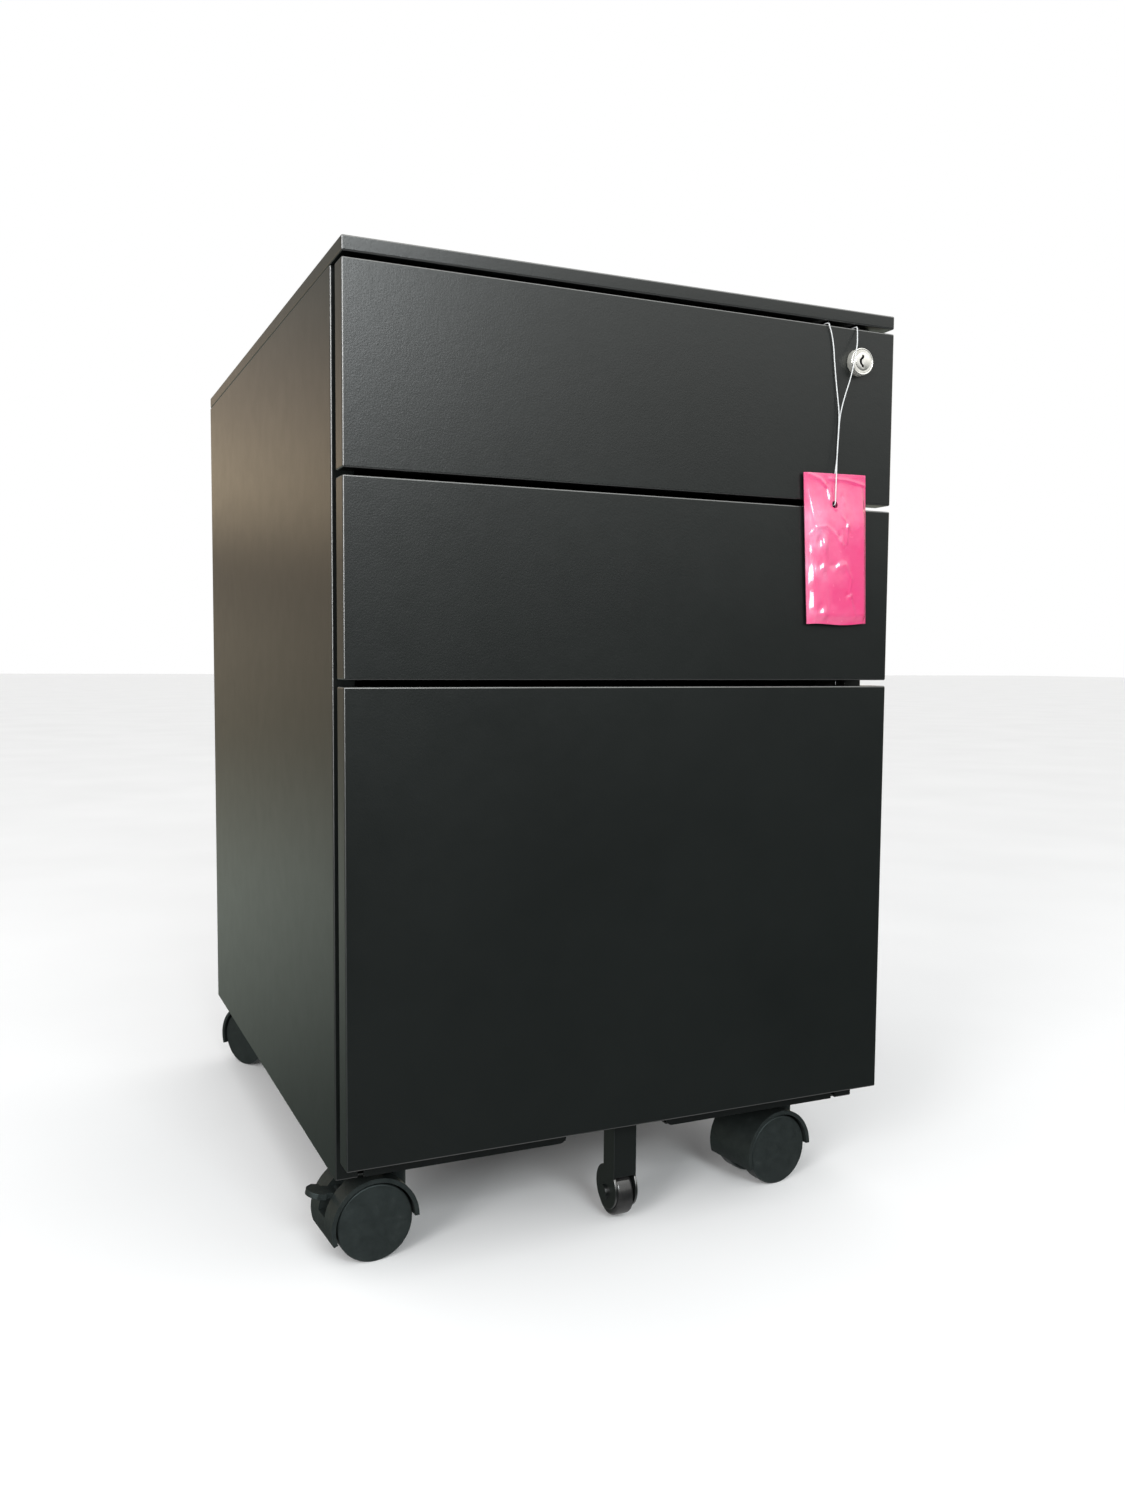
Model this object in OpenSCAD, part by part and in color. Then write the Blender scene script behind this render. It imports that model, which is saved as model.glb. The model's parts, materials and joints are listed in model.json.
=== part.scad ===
// Rolling three-drawer pedestal cabinet in folded sheet steel: two box drawers over a file
// drawer, full-extension slides, a cam lock, five castors and a key pouch on a string.
// Millimetres, +Z up. X runs across the width, -Y is the front. The origin is on the floor,
// under the middle of the cabinet.

/* [Cabinet] */
// Width over the side panels
cabinet_w = 390; // [380:1:400]
// Depth from the drawer faces to the back panel
cabinet_d = 490; // [485:1:520]
// Height of the top face above the floor
cabinet_h = 620; // [618:1:640]
// Height of the carcass underside above the floor
base_h = 58; // [58:1:60]
// Height of the folded top panel
top_h = 9; // [8:1:12]
// Thickness of the sheet steel
sheet = 1; // [0.8:0.1:1.2]
// Width of the folded returns on the side panels
return_w = 14; // [12:1:14]

/* [Drawers] */
// Depth of the hollow drawer fronts
front_t = 16; // [14:1:16]
// Open gap between a drawer front and the carcass edge, for the fingers
finger_gap = 12; // [10:1:14]
// Height of the lowest drawer front's bottom edge
front_bottom = 74; // [74:1:76]
// Height of the file drawer front
file_front_h = 290; // [286:1:290]
// Height of the two upper drawer fronts
box_front_h = 118; // [116:1:118]
// Gap between drawer fronts
front_gap = 4; // [3:1:4]
// Outer width of the drawer boxes
box_w = 336; // [330:1:336]
// Length of the drawer boxes
box_d = 460; // [450:1:460]

/* [Slides] */
// Length of each slide member
slide_len = 445; // [420:5:445]
// Height of the outer slide member
slide_h = 45; // [45:1:46]

/* [Lock] */
// Diameter of the lock's face
lock_d = 18; // [17.5:0.5:20]
// How far the lock stands out of the drawer front
lock_proud = 6; // [5:1:7]
// Radius of the cam pin about the lock's axis
cam_r = 7; // [6:0.5:7]

/* [Castors] */
// Diameter of the castor wheels
wheel_d = 50; // [48:1:50]
// Width over both wheels of a castor
castor_w = 43; // [42:1:46]
// Distance from the stem to the axle
trail = 20; // [19:0.5:21]
// Distance of the stems from the middle, across the width
stem_x = 150; // [148:1:152]
// Depth of the front stems behind the drawer faces
stem_front = 53.5; // [53:0.5:60]
// Depth of the rear stems behind the drawer faces
stem_rear = 446; // [430:1:448]

/* [Anti-tilt wheel] */
// Diameter of the small wheel under the file drawer
tilt_wheel_d = 32; // [28:1:32]
// Clearance between that wheel and the floor
tilt_clear = 2.5; // [1.5:0.5:4]

/* [Key pouch] */
// Diameter of the string
string_d = 1; // [0.8:0.1:1]
// Thickness of the filled pouch
pouch_t = 5.5; // [5.5:0.5:7]

/* [Hidden] */
$fn = 96;
eps = 0.01;

// Colours
satin_black = [0.11, 0.115, 0.12];
plastic_black = [0.05, 0.05, 0.055];
zinc = [0.72, 0.73, 0.75];
pouch_pink = [1, 0.3, 0.55];

// Places of the main planes
half_w = cabinet_w / 2;
face_y = -cabinet_d / 2;
back_y = cabinet_d / 2;
carcass_y = face_y + front_t + finger_gap;
carcass_top = cabinet_h - top_h;
behind_front_y = face_y + front_t;
box_x = box_w / 2;

// Drawer fronts and boxes, from the top drawer down: [bottom of front, height of front]
front_z3 = front_bottom;
front_z2 = front_z3 + file_front_h + front_gap;
front_z1 = front_z2 + box_front_h + front_gap;
front_of = [[front_z1, box_front_h], [front_z2, box_front_h], [front_z3, file_front_h]];
// Boxes: [bottom, height, height of the slides' centre line]
small_box_h = 68;
file_box_h = 240;
box_of = [
    [front_z1 + 12, small_box_h, front_z1 + 46],
    [front_z2 + 12, small_box_h, front_z2 + 46],
    [front_z3 + 18, file_box_h, front_z3 + 166]
];
lip_w = 8;

// Slides: each member is [inner x, outer x, half height]
slide_y = carcass_y + 2;
slide_steel = 1.2;
slide_x = half_w - return_w - sheet;
cabinet_member = [box_x + 1, slide_x, slide_h / 2];
middle_member = [box_x + 2, slide_x - 1.9, slide_h / 2 - 4];
box_member = [box_x, box_x + 7, slide_h / 2 - 8];

// Base
stem_y = [face_y + stem_front, face_y + stem_rear];
notch_x = 38;
rail_h = 26;
rail_x = half_w - return_w - 4;
post_x = 8.4;
post_wall = 1.5;

// Lock
lock_x = half_w - 31;
lock_z = front_z1 + box_front_h - 23;
plug_r = 6;
pin_r = 2;
barrel_rear = behind_front_y + 5.5;
plug_rear = behind_front_y + 6.3;
cam_t = 2;
bar_y = carcass_y + 2.5;
bar_t = 2;

// Castors: [stem x, stem y, direction in which the wheels trail]
front_left = [-stem_x, stem_y[0], 184];
front_right = [stem_x, stem_y[0], 188];
rear_left = [-stem_x, stem_y[1], 120];
rear_right = [stem_x, stem_y[1], 5];
wheel_r = wheel_d / 2;
hood_r = wheel_r + 4.2;
hood_in = wheel_r + 1.3;
hood_w = castor_w + 1;
web_w = 14.8;
wheel_in = web_w / 2 + 0.6;
axle_r = 3;
stem_r = 5;
running = 0.05;
hood_drop = 19;
lever_pivot = [trail + 17.3, wheel_r + 15];
lever_w = 12.4;

// Anti-tilt wheel
tilt_r = tilt_wheel_d / 2;
tilt_axle = [face_y + 30, tilt_clear + tilt_r];
ear_r = 15;
ear = [face_y + 28, tilt_clear + tilt_r + 4.5];

// Key pouch, seen from the front: top left, top right, bottom right, bottom left corners
pouch_corners = [[120, 508], [171, 509], [174, 407], [125, 406]];
pouch_y = face_y - 2;
pouch_film = 0.8;
pouch_hole = [144.2, 487.5];

// Route of the string: a loop round the top edge of the upper drawer front, through the hole
// in the pouch, with its two ends tied together behind the front. [x, y behind the face, z]
string_route = [
    [149, 17.7, 602], [145, 17.6, 602], [141.8, 17.5, 602.7], [139.7, 17.3, 605],
    [139.3, 17.2, 607.3], [139.3, 16.8, 608.4], [139.3, 16, 609.1], [139.3, 15, 609.3],
    [139.3, 8, 609.4], [139.3, 1, 609.3], [139.3, -0.2, 609], [139.3, -1, 608.2],
    [139.4, -1.3, 607], [141.2, -1.2, 603], [143.1, -1.2, 595], [144.2, -1.2, 584],
    [145.6, -1.3, 572], [147.2, -1.6, 560], [148.2, -2.4, 549], [147.5, -3, 538],
    [146.3, -3.8, 527], [145.3, -4.8, 517], [144.8, -5.3, 507], [144.5, -5.5, 497],
    [144.4, -5.5, 488.5], [144.3, -4.2, 487.1], [144.2, -2.3, 487.1], [144.3, -0.9, 488.5],
    [145.1, -0.9, 497], [146.6, -0.9, 507], [147.9, -0.9, 517], [148.6, -1, 527],
    [149, -1.1, 538], [149.7, -1.4, 549], [150.9, -4, 560], [153.5, -6.2, 571],
    [155.2, -7.4, 580], [156.8, -7.4, 588], [158.9, -6.4, 596], [161.5, -2.8, 603.5],
    [162.4, -1.3, 606.8], [162.6, -1, 608.2], [162.7, -0.2, 609], [162.8, 1, 609.3],
    [163, 8, 609.4], [163, 15, 609.3], [163, 16, 609.1], [163, 16.8, 608.4],
    [163, 17.2, 607.3], [162.6, 17.3, 605], [160.5, 17.5, 602.7], [156.5, 17.6, 602],
    [151.2, 17.7, 602]
];
knot_r = 1.4;

// ---- Shared shapes ----

// A block between two opposite corners
module block(low, high) {
    translate(low) cube([high[0] - low[0], high[1] - low[1], high[2] - low[2]]);
}

// A shape and its mirror image on the other side of the cabinet
module both_sides() {
    children();
    mirror([1, 0, 0]) children();
}

// A cylinder along +Y
module y_cylinder(r, y_0, y_1, x, z) {
    translate([x, y_0, z]) rotate([-90, 0, 0]) cylinder(r = r, h = y_1 - y_0);
}

// A cylinder along +X
module x_cylinder(r, x_0, x_1, y, z) {
    translate([x_0, y, z]) rotate([0, 90, 0]) cylinder(r = r, h = x_1 - x_0);
}

// ---- Carcass ----

module top_panel() {
    hem = 12;
    color(satin_black) difference() {
        block([-half_w, face_y, carcass_top], [half_w, back_y, cabinet_h]);
        block(
            [-half_w + sheet, face_y + sheet, carcass_top + sheet],
            [half_w - sheet, back_y - sheet, cabinet_h - sheet]
        );
        block(
            [-half_w + hem, face_y + hem, carcass_top - 1],
            [half_w - hem, back_y - hem, carcass_top + sheet + eps]
        );
    }
}

// The right side panel: a sheet with folded returns at its front, top and bottom
module side_panel() {
    inner = half_w - return_w;
    rear = back_y - sheet;
    color(satin_black) union() {
        block([half_w - sheet, carcass_y, base_h], [half_w, back_y, carcass_top]);
        block([inner, carcass_y, base_h], [half_w, carcass_y + sheet, carcass_top]);
        block([inner, carcass_y, carcass_top - sheet], [half_w, rear, carcass_top]);
        block([inner, carcass_y, base_h], [half_w, rear, base_h + sheet]);
    }
}

module left_side_panel() {
    mirror([1, 0, 0]) side_panel();
}

module right_side_panel() {
    side_panel();
}

module back_panel() {
    flange = 14;
    low = base_h + 2 * sheet;
    high = carcass_top - sheet;
    color(satin_black) union() {
        block([-half_w + sheet, back_y - sheet, base_h], [half_w - sheet, back_y, carcass_top]);
        both_sides() block(
            [half_w - 2 * sheet, back_y - flange, low],
            [half_w - sheet, back_y - sheet / 2, high]
        );
    }
}

module bottom_panel() {
    low = base_h + sheet;
    color(satin_black) difference() {
        block(
            [-half_w + sheet, carcass_y + sheet, low],
            [half_w - sheet, back_y - sheet, low + sheet]
        );
        block([-notch_x, carcass_y, low - 1], [notch_x, carcass_y + 14, low + sheet + 1]);
        for (x = [-stem_x, stem_x], y = stem_y)
            translate([x, y, low - 1]) cylinder(r = stem_r + running, h = sheet + 2);
    }
}

// A C-shaped rail with a round-cornered notch that the anti-tilt post passes through
module base_front_rail() {
    depth = 14;
    corner = 5;
    color(satin_black) difference() {
        block([-rail_x, carcass_y, base_h], [rail_x, carcass_y + depth, base_h + rail_h]);
        block(
            [-rail_x - 1, carcass_y + sheet, base_h + sheet],
            [rail_x + 1, carcass_y + depth + 1, base_h + rail_h - sheet]
        );
        block(
            [-notch_x, carcass_y - 1, base_h - 1],
            [notch_x, carcass_y + depth + 1, base_h + rail_h - 4]
        );
        both_sides() difference() {
            block(
                [notch_x - 1, carcass_y - 1, base_h - 1],
                [notch_x + corner, carcass_y + depth + 1, base_h + corner]
            );
            y_cylinder(corner, carcass_y - 2, carcass_y + depth + 2, notch_x + corner, base_h + corner);
        }
    }
}

module upper_front_rail() {
    front = carcass_y + 9;
    high = carcass_top - sheet;
    color(satin_black) union() {
        block([-half_w + sheet, front, high - 22], [half_w - sheet, front + sheet, high]);
        block([-half_w + sheet, front, high - sheet], [half_w - sheet, front + 24, high]);
    }
}

// Four upright channels that carry the slides
module runner_posts() {
    wide = 24;
    low = base_h + 2 * sheet;
    high = carcass_top - 3;
    color(zinc) both_sides() for (y = [carcass_y + 22, carcass_y + 422]) difference() {
        block([slide_x, y - wide / 2, low], [half_w - sheet, y + wide / 2, high]);
        block(
            [slide_x + sheet, y - wide / 2 + sheet, low - 1],
            [half_w, y + wide / 2 - sheet, high + 1]
        );
    }
}

// ---- Slides ----

// A C-shaped member; opens towards the box when facing is 1, away from it when it is -1
module slide_member(member, z, facing) {
    low_x = member[0];
    high_x = member[1];
    half_h = member[2];
    inside = facing > 0 ? [low_x - 1, high_x - slide_steel] : [low_x + slide_steel, high_x + 1];
    difference() {
        block([low_x, slide_y, z - half_h], [high_x, slide_y + slide_len, z + half_h]);
        block(
            [inside[0], slide_y - 1, z - half_h + slide_steel],
            [inside[1], slide_y + slide_len + 1, z + half_h - slide_steel]
        );
    }
}

module cabinet_rails(drawer) {
    color(zinc) both_sides() slide_member(cabinet_member, box_of[drawer - 1][2], 1);
}

module middle_rails(drawer) {
    color(zinc) both_sides() slide_member(middle_member, box_of[drawer - 1][2], 1);
}

module box_rails(drawer) {
    color(zinc) both_sides() slide_member(box_member, box_of[drawer - 1][2], -1);
}

// ---- Drawers ----

// A shallow tray folded from one sheet, open behind, with an inward lip all round
module drawer_front(drawer) {
    low = front_of[drawer - 1][0];
    high = low + front_of[drawer - 1][1];
    difference() {
        block([-half_w, face_y, low], [half_w, behind_front_y, high]);
        block(
            [-half_w + sheet, face_y + sheet, low + sheet],
            [half_w - sheet, behind_front_y - sheet, high - sheet]
        );
        block(
            [-half_w + lip_w, face_y + sheet, low + lip_w],
            [half_w - lip_w, behind_front_y + 1, high - lip_w]
        );
    }
}

// The panel that closes the tray behind
module inner_panel(drawer) {
    low = front_of[drawer - 1][0] + lip_w;
    high = front_of[drawer - 1][0] + front_of[drawer - 1][1] - lip_w;
    block(
        [-half_w + lip_w, behind_front_y - sheet, low],
        [half_w - lip_w, behind_front_y, high]
    );
}

module lock_hole() {
    y_cylinder(lock_d / 2 - 0.4, face_y - 1, behind_front_y + 1, lock_x, lock_z);
}

module drawer_1_front() {
    color(satin_black) difference() {
        drawer_front(1);
        lock_hole();
    }
}

module drawer_1_inner_panel() {
    color(satin_black) difference() {
        inner_panel(1);
        lock_hole();
    }
}

module drawer_box(drawer) {
    low = box_of[drawer - 1][0];
    high = low + box_of[drawer - 1][1];
    catch_z = box_of[drawer - 1][2] + slide_h / 2 + 4;
    color(satin_black) union() {
        difference() {
            block([-box_x, behind_front_y, low], [box_x, behind_front_y + box_d, high]);
            block(
                [-box_x + sheet, behind_front_y + sheet, low + sheet],
                [box_x - sheet, behind_front_y + box_d - sheet, high + 1]
            );
        }
        block([box_x - sheet, carcass_y - 6, catch_z], [box_x + 3, carcass_y - 2, catch_z + 6]);
    }
}

// A moulded tray that hangs on the top edges of the upper drawer box
module pencil_tray() {
    top_z = box_of[0][0] + small_box_h;
    tray_x = box_x - sheet - 0.5;
    near_y = behind_front_y + sheet + 0.5;
    tray_d = 92;
    wall = 2;
    rib_x = [-60, 20, 100];
    color(plastic_black) difference() {
        union() {
            block([-tray_x, near_y, top_z - 24], [tray_x, near_y + tray_d, top_z]);
            block([-box_x + 0.2, near_y, top_z], [box_x - 0.2, near_y + tray_d, top_z + 1.6]);
        }
        for (i = [0:3]) block(
            [(i == 0 ? -tray_x : rib_x[i - 1]) + wall, near_y + wall, top_z - 24 + wall],
            [(i == 3 ? tray_x : rib_x[i]) - wall, near_y + tray_d - wall, top_z + 2]
        );
    }
}

// Hanger rails that fit over the top edges of the file drawer box
module file_rails() {
    top_z = box_of[2][0] + file_box_h;
    near_y = behind_front_y + 4;
    far_y = behind_front_y + box_d - 4;
    color(zinc) both_sides() union() {
        block([box_x - 9, near_y, top_z], [box_x + 1, far_y, top_z + 1.5]);
        block([box_x - 9, near_y, top_z], [box_x - 7.5, far_y, top_z + 12]);
        block([box_x + 0.3, near_y, top_z - 8], [box_x + 1.5, far_y, top_z + 1.5]);
    }
}

// ---- Lock ----

module lock_housing() {
    bezel_r = lock_d / 2;
    color(zinc) difference() {
        union() {
            y_cylinder(bezel_r, face_y - lock_proud, face_y, lock_x, lock_z);
            y_cylinder(bezel_r - 0.5, face_y - eps, barrel_rear, lock_x, lock_z);
        }
        y_cylinder(plug_r + running, face_y - lock_proud - 1, barrel_rear + 1, lock_x, lock_z);
    }
}

module lock_nut() {
    color(zinc) difference() {
        translate([lock_x, behind_front_y, lock_z]) rotate([-90, 0, 0])
            cylinder(r = lock_d / 2 + 3, h = 3, $fn = 6);
        y_cylinder(lock_d / 2 - 0.5, behind_front_y - 1, behind_front_y + 4, lock_x, lock_z);
    }
}

// The turning plug, with an upright key slot in its face
module lock_cylinder() {
    face = face_y - lock_proud - 0.3;
    slot = [1.8, 12, 7.6];
    color(zinc) difference() {
        y_cylinder(plug_r, face, plug_rear, lock_x, lock_z);
        block(
            [lock_x - slot[0] / 2, face - 1, lock_z - slot[2] / 2],
            [lock_x + slot[0] / 2, face + slot[1], lock_z + slot[2] / 2]
        );
    }
}

// The cam behind the plug; its pin works in the slot of the lock bar
module lock_cam() {
    half = 4;
    pin_end = 13;
    color(zinc) translate([lock_x, plug_rear, lock_z]) rotate([0, 45, 0]) union() {
        y_cylinder(plug_r + 1, 0, cam_t, 0, 0);
        block([0, 0, -half], [cam_r, cam_t, half]);
        y_cylinder(half, 0, cam_t, cam_r, 0);
        y_cylinder(pin_r, cam_t / 2, pin_end, cam_r, 0);
    }
}

// An upright bar behind the right-hand return, with a slot for the cam pin and three hooks
module lock_bar() {
    bar_x = [half_w - 12.5, half_w - 2.5];
    pin = [lock_x + cam_r * cos(45), lock_z - cam_r * sin(45)];
    head_top = carcass_top - 13;
    color(zinc) difference() {
        union() {
            block([bar_x[0], bar_y, base_h + 42], [bar_x[1], bar_y + bar_t, head_top]);
            block([lock_x - 1, bar_y, lock_z - 13], [bar_x[1], bar_y + bar_t, head_top]);
            for (box = box_of) let (hook_z = box[2] + slide_h / 2 + 2)
                block([box_x + 4, bar_y, hook_z], [bar_x[1], bar_y + bar_t, hook_z + 8]);
        }
        hull() for (x = [0, 2.3])
            y_cylinder(pin_r + 0.4, bar_y - 1, bar_y + bar_t + 1, pin[0] + x, pin[1], $fn = 32);
    }
}

// ---- Anti-tilt wheel ----

// A channel under the file drawer whose walls end in two round ears
module anti_tilt_post() {
    floor_z = box_of[2][0];
    web_low = ear[1] + 10;
    channel_top = base_h + rail_h - 6;
    color(satin_black) difference() {
        union() {
            block([-post_x, behind_front_y, web_low], [post_x, behind_front_y + post_wall, floor_z]);
            block(
                [-20, behind_front_y + sheet, floor_z - post_wall],
                [20, behind_front_y + 44, floor_z]
            );
            both_sides() union() {
                block(
                    [post_x - post_wall, behind_front_y, ear[1]],
                    [post_x, behind_front_y + front_t, channel_top]
                );
                x_cylinder(ear_r, post_x - post_wall, post_x, ear[0], ear[1]);
            }
        }
        x_cylinder(axle_r, -post_x - 1, post_x + 1, tilt_axle[0], tilt_axle[1]);
    }
}

module anti_tilt_axle() {
    head_t = 1.6;
    color(satin_black) union() {
        x_cylinder(axle_r, -post_x, post_x, tilt_axle[0], tilt_axle[1]);
        both_sides() x_cylinder(axle_r + 2, post_x, post_x + head_t, tilt_axle[0], tilt_axle[1]);
    }
}

module anti_tilt_wheel() {
    half = post_x - post_wall - 0.4;
    color(plastic_black) translate([0, tilt_axle[0], tilt_axle[1]]) rotate([0, 90, 0])
        rotate_extrude() polygon([
            [axle_r + running, -half], [tilt_r - 2, -half], [tilt_r, -half + 2],
            [tilt_r, half - 2], [tilt_r - 2, half], [axle_r + running, half]
        ]);
}

// ---- Castors ----

// Moves a castor from its own frame (stem on Z, wheels trailing along +X) to its corner
module at_castor(castor) {
    translate([castor[0], castor[1], 0]) rotate([0, 0, castor[2]]) children();
}

module castor_sockets() {
    low = base_h + 2 * sheet;
    flange = [23, 15, 2.5];
    socket_r = 9;
    color(zinc) for (x = [-stem_x, stem_x], y = stem_y) translate([x, y, 0]) difference() {
        union() {
            block([-flange[0], -flange[1], low], [flange[0], flange[1], low + flange[2]]);
            cylinder(r = socket_r, h = low + 16);
        }
        translate([0, 0, -1]) cylinder(r = 2 * socket_r, h = low + 1);
        cylinder(r = stem_r + running, h = low + 30);
    }
}

module castor_stems() {
    color(zinc) for (x = [-stem_x, stem_x], y = stem_y) translate([x, y, 0]) union() {
        translate([0, 0, wheel_r - 1]) cylinder(r = stem_r, h = base_h + 15 - wheel_r);
        translate([0, 0, base_h - 2]) cylinder(r = 8.5, h = 2);
    }
}

// The hood over both wheels, with a middle web that holds the stem and the axle
module castor_hood(castor, braked) {
    reach = 2 * hood_r;
    color(plastic_black) at_castor(castor) difference() {
        union() {
            difference() {
                y_cylinder(hood_r, -hood_w / 2, hood_w / 2, trail, wheel_r);
                y_cylinder(hood_in, -hood_w, -web_w / 2, trail, wheel_r);
                y_cylinder(hood_in, web_w / 2, hood_w, trail, wheel_r);
                translate([trail, hood_w, wheel_r]) rotate([90, 0, 0])
                    linear_extrude(2 * hood_w) polygon([
                        [0, 0], [-reach, 0], [-reach, -reach], [reach, -reach],
                        [reach, -reach * tan(hood_drop)]
                    ]);
            }
            translate([0, 0, wheel_r - 3]) cylinder(r = web_w / 2, h = base_h - 3 - wheel_r + 3);
            y_cylinder(6, -web_w / 2, web_w / 2, trail, wheel_r);
        }
        translate([0, 0, wheel_r - 1.5]) cylinder(r = stem_r + running, h = base_h);
        y_cylinder(axle_r, -web_w, web_w, trail, wheel_r);
        if (braked) difference() {
            block([lever_pivot[0] - 5, -lever_w / 2 - 0.4, lever_pivot[1] - 11], [90, lever_w / 2 + 0.4, 90]);
            y_cylinder(1.5, -hood_w, hood_w, lever_pivot[0], lever_pivot[1]);
        }
    }
}

module castor_axle(castor) {
    half = castor_w / 2 - 2.6;
    color(zinc) at_castor(castor) y_cylinder(axle_r, -half, half, trail, wheel_r);
}

// One wheel; side is 1 for the wheel on the +Y side of the castor's own frame and -1 for the other
module castor_wheel(castor, side) {
    outer = castor_w / 2;
    color(plastic_black) at_castor(castor) translate([trail, 0, wheel_r]) rotate([-90 * side, 0, 0])
        rotate_extrude() polygon([
            [axle_r + running, wheel_in], [7, wheel_in], [7, wheel_in + 4],
            [wheel_r - 5, wheel_in + 4], [wheel_r - 5, wheel_in], [wheel_r - 1, wheel_in],
            [wheel_r, wheel_in + 1], [wheel_r, outer - 2.5], [wheel_r - 1, outer - 1.2],
            [wheel_r - 3, outer - 0.7], [0, outer], [0, outer - 2.4], [axle_r + running, outer - 2.4]
        ]);
}

// A foot lever that turns on a cross pin of the hood
module brake_lever(castor) {
    arm = 20;
    rise = 12;
    color(plastic_black) at_castor(castor) translate([lever_pivot[0], 0, lever_pivot[1]])
        rotate([0, -rise, 0]) difference() {
            union() {
                y_cylinder(3.6, -lever_w / 2, lever_w / 2, 0, 0);
                block([0, -lever_w / 2, -1.2], [arm - 4, lever_w / 2, 2.4]);
                block([arm - 9, -9, -1.2], [arm - 3, 9, 2.4]);
                translate([arm - 7.5, 0, -1.2]) intersection() {
                    cylinder(r = 9.5, h = 3.6);
                    block([0, -9, 0], [10, 9, 4]);
                }
            }
            y_cylinder(1.5 + running, -10, 10, 0, 0);
        }
}

// ---- Key pouch ----

// The pouch outline between two depths, drawn in by an inset
module pouch_slab(near, far, inset) {
    c = pouch_corners;
    translate([0, far, 0]) rotate([90, 0, 0]) linear_extrude(far - near) polygon([
        c[0] + [inset, -inset], c[1] + [-inset, -inset],
        c[2] + [-inset, inset], c[3] + [inset, inset]
    ]);
}

module pouch_half_planes(low, high) {
    block([100, pouch_y - 20, low], [200, pouch_y + 20, high]);
}

// Two layers of film, with a thin folded flap above and room for the keys below
module key_pouch() {
    fold_z = 479;
    flap_t = 1.4;
    color(pouch_pink) difference() {
        union() {
            intersection() {
                pouch_slab(pouch_y - flap_t, pouch_y, 0);
                pouch_half_planes(fold_z, 520);
            }
            intersection() {
                pouch_slab(pouch_y - pouch_t, pouch_y, 0);
                pouch_half_planes(400, fold_z);
            }
        }
        intersection() {
            pouch_slab(pouch_y - pouch_t + pouch_film, pouch_y - pouch_film, 3);
            pouch_half_planes(400, fold_z - 2);
        }
        y_cylinder(2.5, pouch_y - 10, pouch_y + 1, pouch_hole[0], pouch_hole[1]);
    }
}

// Two flat keys, each with a round bow and a straight blade
module keys() {
    key_t = 2;
    near = pouch_y - pouch_t + 1.6;
    color(zinc) for (x = [139, 159]) difference() {
        union() {
            y_cylinder(9, near, near + key_t, x, 458);
            block([x - 3.6, near, 420], [x + 3.6, near + key_t, 452]);
        }
        y_cylinder(2.5, near - 1, near + key_t + 1, x, 462);
    }
}

// Points along the route, with one more between each pair on a smooth curve
function at(points, i) = points[max(0, min(len(points) - 1, i))];
function between(points, i) =
    (9 * (at(points, i) + at(points, i + 1)) - at(points, i - 1) - at(points, i + 2)) / 16;
function unit(v) = v / norm(v);
string_steps = [
    for (i = [0:len(string_route) - 1]) each
        norm(at(string_route, i + 1) - string_route[i]) > 7
            ? [string_route[i], between(string_route, i)]
            : [string_route[i]]
];
string_line = [for (p = string_steps) [p[0], face_y + p[1], p[2]]];
string_turn = [for (i = [0:len(string_line) - 1]) unit(at(string_line, i + 1) - at(string_line, i - 1))];
// A sideways direction carried along the line, so that the tube doesn't twist
string_side = [
    for (i = 0, s = unit(cross(string_turn[0], [0, 0, 1])); i < len(string_line);
        i = i + 1, s = i < len(string_line) ? unit(s - (s * string_turn[i]) * string_turn[i]) : s) s
];

module key_string() {
    sides = 8;
    rings = len(string_line);
    color("white") polyhedron(
        points = [
            for (i = [0:rings - 1], k = [0:sides - 1])
                let (a = 360 * k / sides, up = cross(string_turn[i], string_side[i]))
                string_line[i] + string_d / 2 * (cos(a) * string_side[i] + sin(a) * up)
        ],
        faces = concat(
            [[for (k = [0:sides - 1]) k]],
            [for (i = [0:rings - 2], k = [0:sides - 1]) let (n = (k + 1) % sides)
                [i * sides + k, (i + 1) * sides + k, (i + 1) * sides + n, i * sides + n]],
            [[for (k = [sides - 1:-1:0]) (rings - 1) * sides + k]]
        )
    );
}

// The knot that joins the two ends of the string
module string_knot() {
    start = string_line[0];
    end = string_line[len(string_line) - 1];
    color("white") x_cylinder(knot_r, start[0], end[0], start[1], start[2]);
}

// ---- Nodes ----

top_panel();
left_side_panel();
right_side_panel();
back_panel();
bottom_panel();
base_front_rail();
upper_front_rail();
runner_posts();
cabinet_rails(1);  // drawer_1_cabinet_rails
cabinet_rails(2);  // drawer_2_cabinet_rails
cabinet_rails(3);  // drawer_3_cabinet_rails
middle_rails(1);  // drawer_1_middle_rails
middle_rails(2);  // drawer_2_middle_rails
middle_rails(3);  // drawer_3_middle_rails
box_rails(1);  // drawer_1_box_rails
box_rails(2);  // drawer_2_box_rails
box_rails(3);  // drawer_3_box_rails
drawer_1_front();
color(satin_black) drawer_front(2);  // drawer_2_front
color(satin_black) drawer_front(3);  // drawer_3_front
drawer_1_inner_panel();
color(satin_black) inner_panel(2);  // drawer_2_inner_panel
color(satin_black) inner_panel(3);  // drawer_3_inner_panel
drawer_box(1);  // drawer_1_box
drawer_box(2);  // drawer_2_box
drawer_box(3);  // drawer_3_box
pencil_tray();
file_rails();
lock_housing();
lock_nut();
lock_cylinder();
lock_cam();
lock_bar();
anti_tilt_post();
anti_tilt_axle();
anti_tilt_wheel();
castor_sockets();
castor_stems();
castor_hood(front_left, true);  // front_left_castor_hood
castor_axle(front_left);  // front_left_castor_axle
castor_wheel(front_left, 1);  // front_left_castor_wheel_a
castor_wheel(front_left, -1);  // front_left_castor_wheel_b
castor_hood(front_right, false);  // front_right_castor_hood
castor_axle(front_right);  // front_right_castor_axle
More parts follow.
